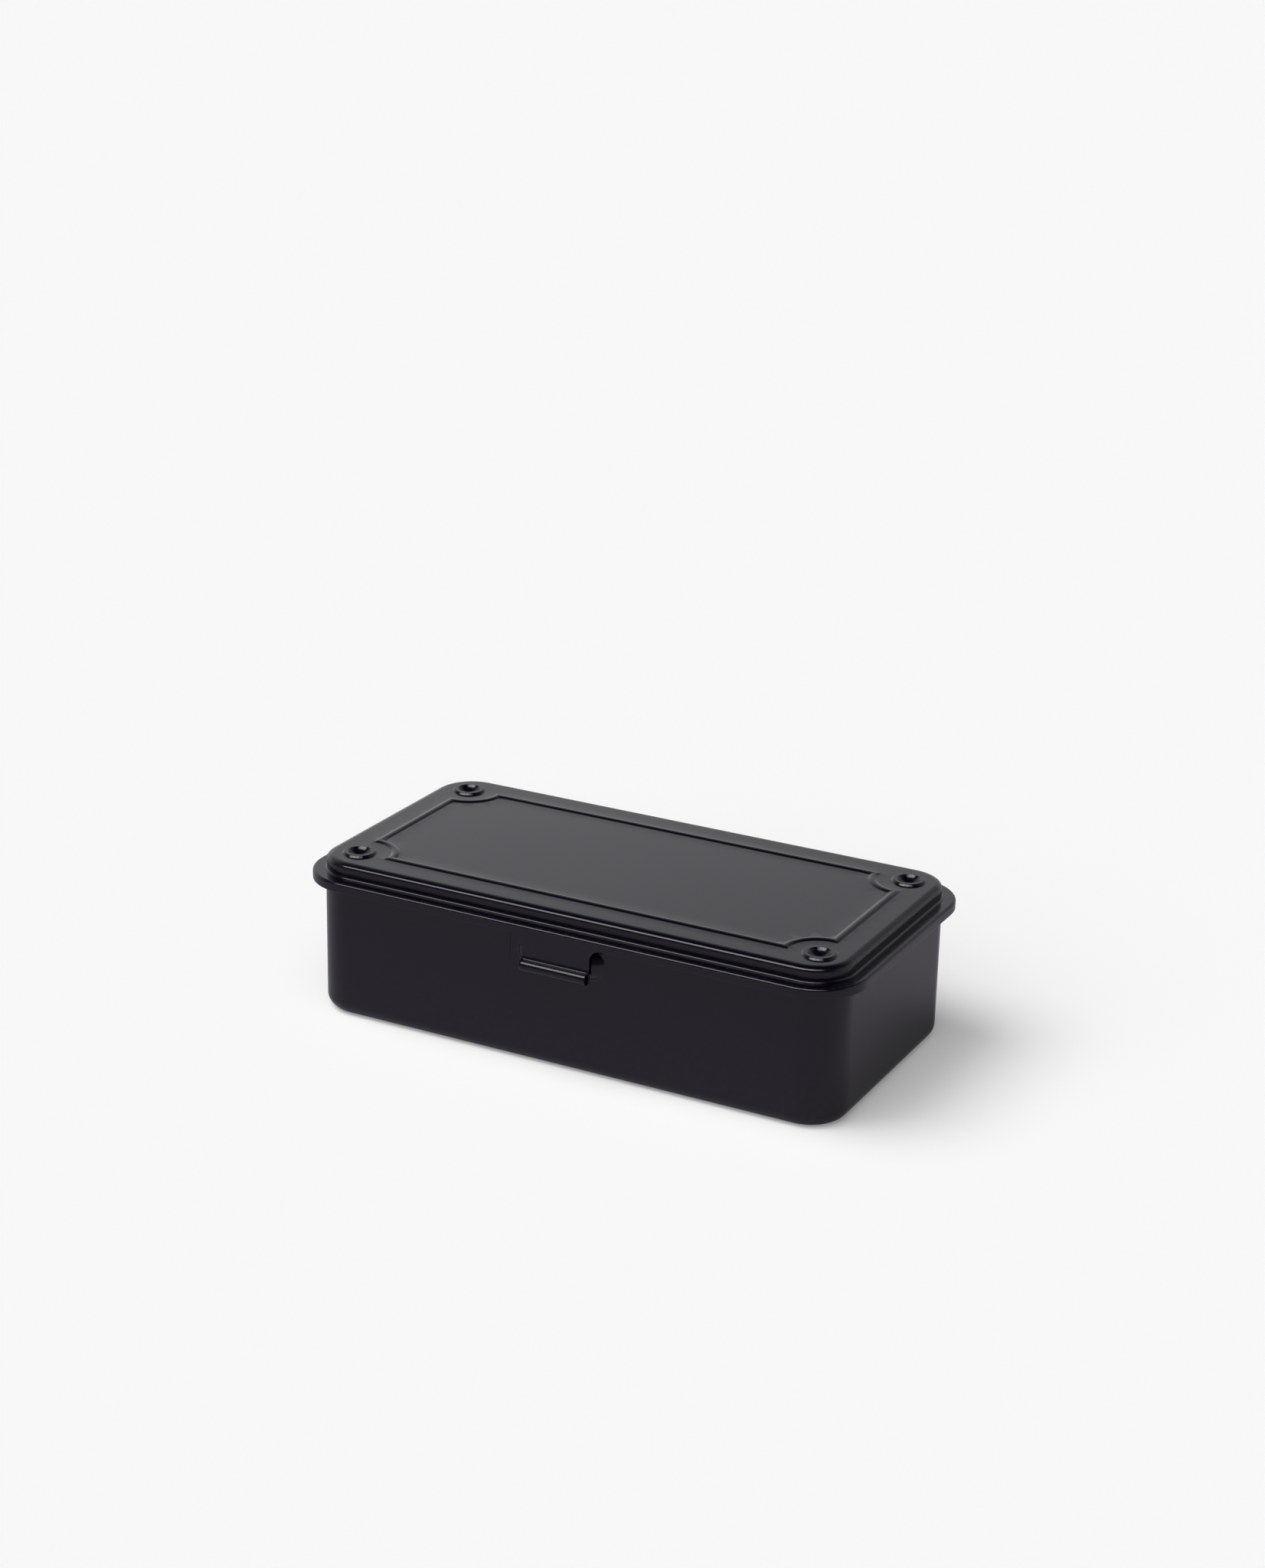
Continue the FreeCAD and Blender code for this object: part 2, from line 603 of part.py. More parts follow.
def make_hinge_leaf(side, sign):
    """A plate spot-welded to the rear wall, bent out and rolled round the pin's two ends."""
    body = new_body(f"hinge_leaf_{side}")
    half = D["hinge_breadth"] / 2
    strip_low = D["axis_height"] - leaf_knuckle_radius
    plate = new_sketch(body, "plate", "XZ_Plane", -wall_y)
    draw_rectangle(plate, -half, half, D["leaf_bottom"], strip_low + D["leaf_gauge"])
    pad(body, plate, D["leaf_gauge"], backwards=True)
    strip = new_sketch(body, "strip", "YZ_Plane")
    draw_rectangle(strip, wall_y, axis_y, strip_low, strip_low + D["leaf_gauge"])
    pad(body, strip, D["hinge_breadth"], symmetric=True)
    outside_bend = along_x(wall_y, strip_low + D["leaf_gauge"])
    round_edges(body, "outer_bend", D["leaf_bend"] + D["leaf_gauge"], outside_bend)
    round_edges(body, "inner_bend", D["leaf_bend"],
                along_x(wall_y + D["leaf_gauge"], strip_low))
    add_roll(body, "barrel", NOTHING, axis_y, D["axis_height"], leaf_knuckle_radius,
             leaf_knuckle_bore, D["hinge_breadth"])
    slit_roll(body, "barrel_slit", NOTHING, D["hinge_breadth"], axis_y - leaf_knuckle_radius,
              axis_y - leaf_knuckle_bore / 2, strip_low + D["leaf_gauge"],
              strip_low + D["leaf_gauge"] + D["curl_slit"])
    gap = D["knuckle_breadth"] + D["knuckle_gap"] * 2
    past_bend = wall_y + D["leaf_gauge"] * 2 + D["leaf_bend"]
    slit_roll(body, "lid_gap", NOTHING, gap, past_bend, axis_y + leaf_knuckle_radius,
              strip_low, D["axis_height"] + leaf_knuckle_radius)

    def lower_corner(edge):
        box = edge.BoundBox
        upright = box.XLength < 0.01 and box.ZLength < 0.01
        return upright and near(box.ZMin, D["leaf_bottom"].value)

    round_edges(body, "plate_corner", D["leaf_corner"], lower_corner)
    welds = new_sketch(body, "weld_marks", "XZ_Plane", -(wall_y + D["leaf_gauge"]))
    for weld_x in (-D["weld_spacing"] / 2, D["weld_spacing"] / 2):
        draw_circle(welds, weld_x, D["weld_height"], D["weld_radius"])
    pocket(body, welds, D["weld_depth"], backwards=True)
    bind(body, "Placement.Base.x", D["hinge_spacing"] / 2 * sign)
    return body


def make_hinge_pin(side, sign):
    """A straight wire pin along X, staked in the leaf's two outer knuckles."""
    body = new_body(f"hinge_pin_{side}")
    section = new_sketch(body, "pin", "YZ_Plane")
    draw_circle(section, axis_y, D["axis_height"], D["pin_radius"])
    pad(body, section, D["hinge_breadth"] + D["pin_overhang"] * 2, symmetric=True)
    ends = edges_where(body, lambda edge: edge.BoundBox.XLength < 0.01)
    base = body.Tip
    chamfer = body.newObject("PartDesign::Chamfer", "pin_ends")
    chamfer.Base = (base, ends)
    bind(chamfer, "Size", D["pin_chamfer"])
    bind(body, "Placement.Base.x", D["hinge_spacing"] / 2 * sign)
    doc.recompute()
    return body


# ---------------------------------------------------------------- document

def make_parts():
    parts = [make_body_shell(), make_lid_shell()]
    for side, sign in (("left", -1), ("right", 1)):
        parts.append(make_hinge_leaf(side, sign))
        parts.append(make_hinge_pin(side, sign))
    doc.recompute()
    return parts


def check_document(parts):
    """Stop if any feature failed or any part is not one valid solid."""
    for item in doc.Objects:
        if {"Invalid", "Error"} & set(item.State):
            raise RuntimeError(f"{item.Name} failed: {item.State}")
    for part in parts:
        shape = part.Shape
        if shape.isNull() or not shape.isValid() or len(shape.Solids) != 1:
            raise RuntimeError(f"{part.Label} is not one valid solid")


def export_parts(parts):
    os.makedirs("parts", exist_ok=True)
    for part in parts:
        part.Shape.exportStep(f"parts/{part.Label}.step")
        box = part.Shape.BoundBox
        print(f"{part.Label}: {part.Shape.Volume / 1000:.2f} cm3, {box.XLength:.1f} x "
              f"{box.YLength:.1f} x {box.ZLength:.1f}, z {box.ZMin:.2f} to {box.ZMax:.2f}")


all_parts = make_parts()
check_document(all_parts)
export_parts(all_parts)
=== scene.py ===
import json
import math

import bmesh
import bpy
from mathutils import Matrix, Vector
from mathutils.geometry import delaunay_2d_cdt


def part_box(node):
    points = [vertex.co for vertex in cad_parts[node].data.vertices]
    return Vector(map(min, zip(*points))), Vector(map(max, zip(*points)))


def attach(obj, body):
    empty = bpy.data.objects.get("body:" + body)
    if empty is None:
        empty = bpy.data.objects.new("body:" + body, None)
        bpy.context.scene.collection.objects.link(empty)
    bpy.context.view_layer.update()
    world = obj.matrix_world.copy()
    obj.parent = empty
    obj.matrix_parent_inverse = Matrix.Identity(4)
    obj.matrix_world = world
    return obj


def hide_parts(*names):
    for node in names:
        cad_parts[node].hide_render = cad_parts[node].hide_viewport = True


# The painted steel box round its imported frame. Lengths are in millimetres until a mesh is made;
# the front, with the latch, faces -Y, the hinges are at +Y and the floor is z = 0.

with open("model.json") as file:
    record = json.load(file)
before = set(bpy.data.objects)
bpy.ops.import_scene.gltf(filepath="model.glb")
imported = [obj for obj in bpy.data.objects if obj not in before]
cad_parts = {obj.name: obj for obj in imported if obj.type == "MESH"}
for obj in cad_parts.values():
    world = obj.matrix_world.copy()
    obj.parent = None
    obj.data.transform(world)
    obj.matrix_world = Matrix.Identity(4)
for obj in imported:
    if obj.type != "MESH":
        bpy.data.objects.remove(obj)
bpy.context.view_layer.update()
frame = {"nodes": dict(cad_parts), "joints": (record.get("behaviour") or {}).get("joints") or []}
MM = 0.001

# ---------------------------------------------------------------- sizes

GAUGE = 0.7
EDGE_BAND = 0.4
CURL_RADIUS = 1.4
RIM_CORNER = 18.3
WALL_INSET = 4.5
CROWN_INSET = 4.8
STUD_RISE = 0.75

lid_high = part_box("lid_shell")[1] / MM
body_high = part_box("body_shell")[1] / MM
axis_z = frame["joints"][0]["pos_m"][2] / MM

RIM_X = lid_high.x
WALL_Y = body_high.y + GAUGE - CURL_RADIUS * 2
RIM_Y = WALL_Y + WALL_INSET
LID_TOP = lid_high.z - STUD_RISE
BODY_TOP = body_high.z

# Every outline is the same rectangle grown by a radius: the core is where the corner arcs centre.
CORE_X = RIM_X - RIM_CORNER
CORE_Y = RIM_Y - RIM_CORNER
CROWN = RIM_CORNER - CROWN_INSET
WALL = RIM_CORNER - WALL_INSET

RIM_BOTTOM = 47.0
LEDGE = 50.3
CROWN_SHOULDER = 4.0
CROWN_ROUND = 1.6
CROWN_LEAN = 62.0
LEDGE_ROUND = 0.75
RIM_ROUND = 0.9
INSIDE_ROUND = 0.15
FLOOR_ROUND = 4.8

STUD_X, STUD_Y = 85.2, 36.0
STUD_RADIUS = 6.0
STUD_SLOPE = 55.0
STUD_FOOT = 0.3
STUD_CREST_ROUND = 0.35
BOWL_RADIUS = 4.0
BOWL_EDGE = 0.15
BEAD_HALF = 1.6
BEAD_RISE = 0.5
BEAD_NOTCH = 12.1
SOCKET_MOUTH = 6.4
SOCKET_RADIUS = 5.9
SOCKET_DEPTH = 1.2

LATCH_HALF = 12.5
LATCH_BLEND = 4.0
ROLL_HALF = 12.15
ROLL_RADIUS = 2.03
ROLL_HEIGHT = 36.85
ROLL_ADVANCE = 0.5
ROLL_TURN = 310
FLARE_ROUND = 2.6
FLARE_LEAN = 36.0
CREASE_ROUND = 0.15
BULGE_REACH = 16.2
BULGE_HALF = 5.25
BULGE_RISE = 2.8
BULGE_HEIGHT = 39.8
BULGE_FOOT = 1.0
BULGE_MARGIN = 3.0
WINDOW_BOTTOM = BULGE_HEIGHT - BULGE_HALF - BULGE_MARGIN
WINDOW_TOP = BULGE_HEIGHT + BULGE_HALF + BULGE_MARGIN / 2

HINGE_X = 55.0
KNUCKLE_HALF = 6.0
KNUCKLE_BLEND = 2.0
KNUCKLE_BORE = 1.25
KNUCKLE_TURN = 292
CURL_END = -125
BROKEN_EDGE = 0.16
BROKEN_EDGE_ANGLE = 55

# ---------------------------------------------------------------- wear

# How rubbed the paint is, from 0 to 1: most on raw edges, less on rounded ones.
EDGE_WEAR = 0.4
CURL_WEAR = 0.3
RIM_WEAR = 0.25
FLOOR_WEAR = 0.2
CROWN_WEAR = 0.1

# ---------------------------------------------------------------- fineness of the meshes

WALL_PITCH = 4
TAB_PITCH = 1.5
BULGE_PITCH = 1.0
CROWN_PITCH = 4
PANEL_PITCH = 5
WINDOW_PITCH = 2
BASE_PITCH = 6

CORNER_STEPS = 16
PRESSING_STEPS = 48
BEAD_STEPS = 12
NOTCH_STEPS = 22
BEAD_RUN_X = 16
BEAD_RUN_Y = 6
FILLET_STEPS = 4
BOWL_EDGE_STEPS = 3
BOWL_STEPS = 14
SOCKET_STEPS = 8
BLEND_ANGLE = 15
FLARE_STEPS = 6
ROLL_STEPS = 44
KNUCKLE_STEPS = 36
SHOULDER_STEPS = 7
CROWN_STEPS = 10
RIM_STEPS = 8
FLOOR_STEPS = 12
CURL_STEPS = 24
BULGE_FOOT_STEPS = 6
BULGE_STEPS = 12
BULGE_END_STEPS = 24

NEAR = 0.01
MERGE = 1e-6
SPARSE = 0.6

# ---------------------------------------------------------------- plane geometry


def arc(centre, radius, start, end, steps):
    """Places along an arc between two angles in degrees, both ends included."""
    places = []
    for step in range(steps + 1):
        angle = math.radians(start + (end - start) * step / steps)
        places.append((centre[0] + radius * math.cos(angle),
                       centre[1] + radius * math.sin(angle)))
    return places


def spaced(low, high, pitch):
    """Even values from low to high, both included, about pitch apart."""
    steps = max(1, round((high - low) / pitch))
    return [low + (high - low) * step / steps for step in range(steps + 1)]


def joined(*runs):
    """Runs of values end to end, with each shared end kept once."""
    values = list(runs[0])
    for run in runs[1:]:
        values += run[1:]
    return values


def core_outline(front, rear, sides, corner_steps):
    """(place on the core rectangle, outward direction) all round, anticlockwise from above."""
    outline = [((x, -CORE_Y), (0, -1)) for x in front]
    corners = (((CORE_X, -CORE_Y), -90), ((CORE_X, CORE_Y), 0), ((-CORE_X, CORE_Y), 90),
               ((-CORE_X, -CORE_Y), 180))
    straights = ([((CORE_X, y), (1, 0)) for y in sides],
                 [((x, CORE_Y), (0, 1)) for x in reversed(rear)],
                 [((-CORE_X, y), (-1, 0)) for y in reversed(sides)], [])
    for (centre, start), straight in zip(corners, straights):
        outline += [(centre, way) for way in arc((0, 0), 1, start, start + 90, corner_steps)[1:-1]]
        outline += straight
    return outline


def inside(polygon, place):
    """Whether a place is inside a closed polygon."""
    x, y = place
    odd = False
    for (ax, ay), (bx, by) in zip(polygon, polygon[1:] + polygon[:1]):
        if (ay > y) != (by > y) and x < ax + (y - ay) / (by - ay) * (bx - ax):
            odd = not odd
    return odd


# ---------------------------------------------------------------- pressed sheets


class Sheet:
    """A pressed steel sheet: each point has an outer place, an inner place and a wear value."""

    def __init__(self):
        self.points = []
        self.faces = []

    def point(self, outer, inner, wear=0.0):
        self.points.append((Vector(outer), Vector(inner), wear))
        return len(self.points) - 1

    def strip(self, here, there, closed=True):
        """Four-sided faces between two rows of points of the same length."""
        pairs = list(zip(here, there))
        following = pairs[1:] + pairs[:1] if closed else pairs[1:]
        for (a, b), (c, d) in zip(pairs, following):
            self.faces.append((a, c, d, b))

    def loops(self, rows):
        """Closed rows joined in turn."""
        for here, there in zip(rows, rows[1:]):
            self.strip(here, there)

    def fan(self, row, centre):
        for a, b in zip(row, row[1:] + row[:1]):
            self.faces.append((a, b, centre))

    def fill(self, boundary, holes, flat, lift, pitch):
        """Triangles between loops that lie in one plane, with a light grid of points among them.

        flat gives a point's two coordinates in the plane, and lift makes a point from them.
        """
        rings = [boundary] + holes
        used = [index for ring in rings for index in ring]
        places = [flat(self.points[index][0]) for index in used]
        outlines = [[flat(self.points[index][0]) for index in ring] for ring in rings]

        def wanted(place):
            in_hole = any(inside(hole, place) for hole in outlines[1:])
            return inside(outlines[0], place) and not in_hole

        low = [min(place[axis] for place in outlines[0]) for axis in (0, 1)]
        high = [max(place[axis] for place in outlines[0]) for axis in (0, 1)]
        kept = []
        for row, v in enumerate(spaced(low[1], high[1], pitch)):
            for u in spaced(low[0], high[0], pitch):
                place = (u + pitch / 2 * (row % 2), v)
                clear = all(math.dist(place, other) > pitch * SPARSE for other in places)
                if clear and wanted(place):
                    kept.append(place)
        used += [lift(*place) for place in kept]
        edges = []
        start = 0
        for ring in rings:
            size = len(ring)
            edges += [(start + step, start + (step + 1) % size) for step in range(size)]
            start += size
        corners, _, triangles, sources, *_ = delaunay_2d_cdt(
            [Vector(place) for place in places + kept], edges, [], 0, MERGE)
        origin = [source[0] for source in sources]
        for triangle in triangles:
            centre = sum((corners[corner] for corner in triangle), Vector((0, 0))) / 3
            if wanted(centre):
                self.faces.append(tuple(used[origin[corner]] for corner in triangle))

    def build(self, name):
        """One closed mesh: both skins, joined along every free edge of the sheet."""
        count = len(self.points)
        uses = {}
        for face in self.faces:
            for a, b in zip(face, face[1:] + face[:1]):
                uses.setdefault(frozenset((a, b)), []).append((a, b))
        faces = list(self.faces)
        faces += [tuple(index + count for index in reversed(face)) for face in self.faces]
        for seen in uses.values():
            if len(seen) == 1:
                a, b = seen[0]
                faces.append((b, a, a + count, b + count))
        places = [outer * MM for outer, _, _ in self.points]
        places += [inner * MM for _, inner, _ in self.points]
        mesh = bpy.data.meshes.new(name)
        mesh.from_pydata(places, [], faces)
        wear = mesh.attributes.new("wear", "FLOAT", "POINT")
        wear.data.foreach_set("value", [value for _, _, value in self.points] * 2)
        work = bmesh.new()
        work.from_mesh(mesh)
        bmesh.ops.recalc_face_normals(work, faces=work.faces)
        work.to_mesh(mesh)
        work.free()
        mesh.shade_smooth()
        piece = bpy.data.objects.new(name, mesh)
        bpy.context.scene.collection.objects.link(piece)
        return piece


def rings_of(sheet, outline, section):
    """Rows of points round an outline, one row for each item of a section.

    An item is the outer (radius, z), the inner (radius, z) and the wear.
    """
    rows = []
    for (outer_radius, outer_z), (inner_radius, inner_z), wear in section:
        rows.append([
            sheet.point((x + nx * outer_radius, y + ny * outer_radius, outer_z),
                        (x + nx * inner_radius, y + ny * inner_radius, inner_z), wear)
            for (x, y), (nx, ny) in outline])
    return rows


def corner_places():
    """Where the lid's four studs and the floor's four sockets are centred."""
    return [(STUD_X * sx, STUD_Y * sy) for sx in (-1, 1) for sy in (-1, 1)]


def worn(pairs, wear):
    """Section items from pairs of outer and inner places that share one wear value."""
    return [(outer, inner, wear) for outer, inner in pairs]


# ---------------------------------------------------------------- lid


def bead_loop(sheet, shift, z):
    """One line of the crown's bead: a rectangle that steps in round each stud."""
    radius = BEAD_NOTCH - shift
    reach = math.sqrt(radius ** 2 - shift ** 2)
    turn = math.degrees(math.asin(shift / radius))
    places = []
    for sign_x, sign_y in ((1, 1), (-1, 1), (-1, -1), (1, -1)):
        notch = arc((STUD_X, STUD_Y), radius, 270 + turn, 180 - turn, NOTCH_STEPS)
        if sign_x * sign_y < 0:
            notch.reverse()
        places += [(x * sign_x, y * sign_y) for x, y in notch]
        last_x, last_y = places[-1]
        if sign_x * sign_y > 0:
            run = spaced(-(STUD_X - reach), STUD_X - reach, (STUD_X - reach) / BEAD_RUN_X)
            places += [(-x * sign_x, last_y) for x in run[1:-1]]
        else:
            run = spaced(-(STUD_Y - reach), STUD_Y - reach, (STUD_Y - reach) / BEAD_RUN_Y)
            places += [(last_x, -y * sign_y) for y in run[1:-1]]
    return [sheet.point((x, y, z), (x, y, z - GAUGE)) for x, y in places]


def bead_heights():
    """(shift, height) across the bead, a low arc."""
    radius = (BEAD_HALF ** 2 + BEAD_RISE ** 2) / (2 * BEAD_RISE)
    lean = math.degrees(math.asin(BEAD_HALF / radius))
    return arc((0, BEAD_RISE - radius), radius, 90 + lean, 90 - lean, BEAD_STEPS)


def add_round(sheet, centre, profile, level, inward):
    """A round pressing in a level sheet. Returns its outermost loop.

    The profile is (radius, rise) from the foot to the middle, and inward is the signed distance
    to the other skin.
    """
    rows = []
    for radius, rise in profile[:-1]:
        z = level + rise
        rows.append([sheet.point((x, y, z), (x, y, z + inward))
                     for x, y in arc(centre, radius, 0, 360, PRESSING_STEPS)[:-1]])
    sheet.loops(rows)
    middle = level + profile[-1][1]
    sheet.fan(rows[-1], sheet.point((*centre, middle), (*centre, middle + inward)))
    return rows[0]


def swell(start, end, height, steps):
    """(radius, rise) of a smooth step from level up to a height."""
    return [(start + (end - start) * step / steps,
             height * math.sin(math.pi / 2 * step / steps) ** 2)
            for step in range(steps + 1)]


def stud_profile():
    """A steep-sided ring with a level crest, and a round bowl that starts sharply inside it."""
    slope = math.radians(STUD_SLOPE)
    foot = arc((STUD_RADIUS, STUD_FOOT), STUD_FOOT, 270, 270 - STUD_SLOPE, FILLET_STEPS)
    climb = STUD_RISE - (STUD_FOOT + STUD_CREST_ROUND) * (1 - math.cos(slope))
    shoulder_x = foot[-1][0] - climb / math.tan(slope) - STUD_CREST_ROUND * math.sin(slope)
    shoulder = arc((shoulder_x, STUD_RISE - STUD_CREST_ROUND), STUD_CREST_ROUND,
                   90 - STUD_SLOPE, 90, FILLET_STEPS)
    edge = arc((BOWL_RADIUS, STUD_RISE - BOWL_EDGE), BOWL_EDGE,
               90, 90 + STUD_SLOPE, BOWL_EDGE_STEPS)
    rim, rim_rise = edge[-1]
    radius = rim / math.sin(slope)
    bowl = arc((0, rim_rise + radius * math.cos(slope)), radius,
               STUD_SLOPE - 90, -90, BOWL_STEPS)
    return foot + shoulder + edge + bowl[1:]


def socket_profile():
    """A smooth wall up to a level roof."""
    wall = swell(SOCKET_MOUTH, SOCKET_RADIUS, SOCKET_DEPTH, SOCKET_STEPS)
    return wall + [(SOCKET_RADIUS / 2, SOCKET_DEPTH), (0, SOCKET_DEPTH)]


def hang_tab(sheet, row, centre_x, stations, place):
    """A strip that hangs from part of a row. Stations are (half breadth, outer, inner)."""
    xs = [sheet.points[index][0].x - centre_x for index in row]
    half = max(abs(x) for x in xs)
    for index in row[1:-1]:
        sheet.points[index] = (*sheet.points[index][:2], 0.0)
    above = row
    for breadth, outer, inner in stations:
        below = []
        for x in xs:
            across = centre_x + x / half * breadth
            raw = abs(x) > half - NEAR or outer is stations[-1][1]
            wear = EDGE_WEAR if raw else 0.0
            below.append(sheet.point(place(across, *outer), place(across, *inner), wear))
        sheet.strip(above, below, closed=False)
        above = below


def skins(centre, radius, depth, start, end, steps):
    """Outer and inner places along a bend, with the inner skin at radius + depth."""
    return list(zip(arc(centre, radius, start, end, steps),
                    arc(centre, radius + depth, start, end, steps)))


def blend_stations(half, blend):
    """The first stretch of a tab, where its edges curve in from the skirt's edge."""
    stations = []
    for angle in range(BLEND_ANGLE, 91, BLEND_ANGLE):
        breadth = half + blend - blend * math.sin(math.radians(angle))
        z = RIM_BOTTOM - blend + blend * math.cos(math.radians(angle))
        stations.append((breadth, (0, z), (-GAUGE, z)))
    return stations


def latch_stations():
    """Blend, flat, flare, crease and rolled edge of the latch tab.

    Distances are out of the skirt's face, and heights are from the floor.
    """
    turn = math.radians(FLARE_LEAN)
    apart = FLARE_ROUND - CREASE_ROUND
    crease_x = FLARE_ROUND - apart * math.cos(turn)
    step_x = crease_x - ROLL_ADVANCE
    step_z = math.sqrt((CREASE_ROUND + ROLL_RADIUS) ** 2 - step_x ** 2)
    crease = (crease_x, ROLL_HEIGHT + step_z)
    flare = (FLARE_ROUND, crease[1] + apart * math.sin(turn))
    lean = math.degrees(math.atan2(step_z, step_x))
    roll = (ROLL_ADVANCE, ROLL_HEIGHT)
    bend = skins(flare, FLARE_ROUND, GAUGE, 180, 180 + FLARE_LEAN, FLARE_STEPS)
    bend += skins(crease, CREASE_ROUND, GAUGE, 180 + FLARE_LEAN, 180 + lean, FILLET_STEPS)[1:]
    rolled = skins(roll, ROLL_RADIUS, -GAUGE, lean, lean - ROLL_TURN, ROLL_STEPS)[1:]
    stations = blend_stations(LATCH_HALF, LATCH_BLEND)
    for step, (outer, inner) in enumerate(bend):
        breadth = LATCH_HALF + (ROLL_HALF - LATCH_HALF) * step / (len(bend) - 1)
        stations.append((breadth, outer, inner))
    stations += [(ROLL_HALF, outer, inner) for outer, inner in rolled]
    return stations


def knuckle_stations():
    """A rear tab that curls outward round the hinge pin."""
    stations = blend_stations(KNUCKLE_HALF, KNUCKLE_BLEND)
    centre = (KNUCKLE_BORE, axis_z)
    curled = skins(centre, KNUCKLE_BORE, GAUGE, 180, 180 + KNUCKLE_TURN, KNUCKLE_STEPS)
    stations += [(KNUCKLE_HALF, outer, inner) for outer, inner in curled]
    return stations


def lid_section():
    """Outer and inner outline of the lid from the crown's edge to the skirt's lower edge."""
    inner_skirt = RIM_CORNER - GAUGE
    lean = math.radians(CROWN_LEAN)
    apart = CROWN_SHOULDER - CROWN_ROUND
    shoulder = (CROWN - CROWN_ROUND - apart * math.cos(lean), LID_TOP - CROWN_SHOULDER)
    crown = (CROWN - CROWN_ROUND, shoulder[1] + apart * math.sin(lean))
    ledge_centre = (CROWN + LEDGE_ROUND, LEDGE + LEDGE_ROUND)
    rim_centre = (RIM_CORNER - RIM_ROUND, LEDGE - RIM_ROUND)
    inner_rim = (inner_skirt - INSIDE_ROUND, LEDGE - GAUGE - INSIDE_ROUND)
    section = worn(skins(shoulder, CROWN_SHOULDER, -GAUGE, 90, CROWN_LEAN, SHOULDER_STEPS), 0.0)
    section += worn(skins(crown, CROWN_ROUND, -GAUGE, CROWN_LEAN, 0, CROWN_STEPS), CROWN_WEAR)[1:]
    section += worn(skins(ledge_centre, LEDGE_ROUND, GAUGE, 180, 270, RIM_STEPS), 0.0)
    section += worn(zip(arc(rim_centre, RIM_ROUND, 90, 0, RIM_STEPS),
                        arc(inner_rim, INSIDE_ROUND, 90, 0, RIM_STEPS)), RIM_WEAR)
    for z, wear in ((LEDGE - RIM_ROUND - EDGE_BAND, 0.0), (RIM_BOTTOM + EDGE_BAND, 0.0),
                    (RIM_BOTTOM, EDGE_WEAR)):
        section.append(((RIM_CORNER, z), (inner_skirt, z), wear))
    return section


def make_lid():
    sheet = Sheet()
    latch_top = LATCH_HALF + LATCH_BLEND
    knuckle_top = KNUCKLE_HALF + KNUCKLE_BLEND
    front = joined(spaced(-CORE_X, -latch_top, WALL_PITCH),
                   spaced(-latch_top, latch_top, TAB_PITCH),
                   spaced(latch_top, CORE_X, WALL_PITCH))
    rear = joined(spaced(-CORE_X, -HINGE_X - knuckle_top, WALL_PITCH),
                  spaced(-HINGE_X - knuckle_top, -HINGE_X + knuckle_top, TAB_PITCH),
                  spaced(-HINGE_X + knuckle_top, HINGE_X - knuckle_top, WALL_PITCH),
                  spaced(HINGE_X - knuckle_top, HINGE_X + knuckle_top, TAB_PITCH),
                  spaced(HINGE_X + knuckle_top, CORE_X, WALL_PITCH))
    outline = core_outline(front, rear, spaced(-CORE_Y, CORE_Y, WALL_PITCH), CORNER_STEPS)
    rows = rings_of(sheet, outline, lid_section())
    sheet.loops(rows)

    def flat(place):
        return place.x, place.y

    def lift(x, y):
        return sheet.point((x, y, LID_TOP), (x, y, LID_TOP - GAUGE))

    bead = [bead_loop(sheet, shift, LID_TOP + rise) for shift, rise in bead_heights()]
    sheet.loops(bead)
    studs = [add_round(sheet, centre, stud_profile(), LID_TOP, -GAUGE)
             for centre in corner_places()]
    inner_loop, outer_loop = bead[0], bead[-1]
    sheet.fill(rows[0], [outer_loop] + studs, flat, lift, CROWN_PITCH)
    sheet.fill(inner_loop, [], flat, lift, PANEL_PITCH)

    def between(low, high, sign_y):
        chosen = [index for index, (_, way) in zip(rows[-1], outline)
                  if way == (0, sign_y)
                  and low - NEAR < sheet.points[index][0].x < high + NEAR]
        return sorted(chosen, key=lambda index: sheet.points[index][0].x)

    hang_tab(sheet, between(-latch_top, latch_top, -1), 0, latch_stations(),
             lambda x, out, z: (x, -RIM_Y - out, z))
    for sign in (-1, 1):
        centre = HINGE_X * sign
        hang_tab(sheet, between(centre - knuckle_top, centre + knuckle_top, 1), centre,
                 knuckle_stations(), lambda x, out, z: (x, RIM_Y + out, z))
    return sheet.build("lid")


# ---------------------------------------------------------------- body


def body_section():
    """Outer and inner outline of the body, from the floor's edge to the end of the curled rim."""
    floor_centre = (WALL - FLOOR_ROUND, FLOOR_ROUND)
    curl_centre = (WALL - GAUGE + CURL_RADIUS, BODY_TOP - CURL_RADIUS)
    inner_wall = WALL - GAUGE
    section = worn(skins(floor_centre, FLOOR_ROUND, -GAUGE, 270, 360, FLOOR_STEPS), FLOOR_WEAR)
    for z in (WINDOW_BOTTOM, WINDOW_TOP):
        section.append(((WALL, z), (inner_wall, z), 0.0))
    section += worn(skins(curl_centre, CURL_RADIUS - GAUGE, GAUGE, 180, CURL_END, CURL_STEPS),
                    CURL_WEAR)
    return section


def bulge_profile():
    """(distance from the bulge's middle line, rise), outer and inner, from the foot inward."""
    radius = (BULGE_HALF ** 2 / BULGE_RISE + BULGE_RISE) / 2
    drop = radius - BULGE_RISE
    foot = math.sqrt((radius + BULGE_FOOT) ** 2 - (drop + BULGE_FOOT) ** 2)
    lean = math.degrees(math.atan2(drop + BULGE_FOOT, foot))
    flank = skins((foot, BULGE_FOOT), BULGE_FOOT, GAUGE, 270, 180 + lean, BULGE_FOOT_STEPS)
    return flank + skins((0, -drop), radius, -GAUGE, lean, 90, BULGE_STEPS)[1:]


